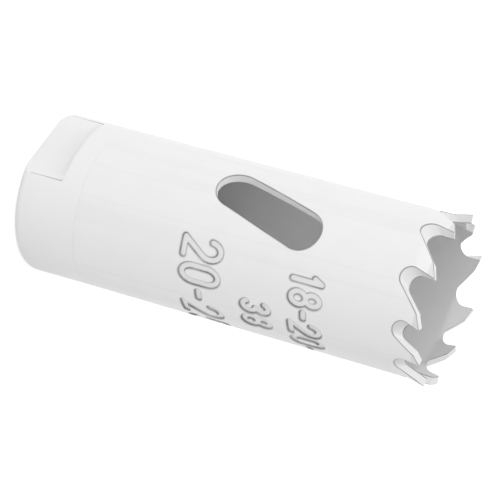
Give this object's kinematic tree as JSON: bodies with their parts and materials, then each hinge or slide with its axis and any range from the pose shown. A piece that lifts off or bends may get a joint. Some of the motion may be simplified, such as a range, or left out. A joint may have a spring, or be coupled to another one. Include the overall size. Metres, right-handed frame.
{
  "type": "hole saw",
  "caption": "Cup-shaped saw with set teeth on its rim, a slanted clearing slot in its side, and a threaded end cap with spanner flats for an arbor.",
  "frame": {"origin": "centre of the cap's back face, on the saw axis", "axes": "+Z along the saw axis towards the teeth; the spanner flats face -Y and +Y; the slot is on the -Y side"},
  "size_m": [0.019, 0.019, 0.051],
  "materials": {
    "painted_body": "satin",
    "painted_cap": "satin",
    "hard_steel": "ground"
  },
  "bodies": {
    "root": {"saw_body": "painted_body", "end_cap": "painted_cap", "tooth_tips": "hard_steel"}
  },
  "joints": []
}
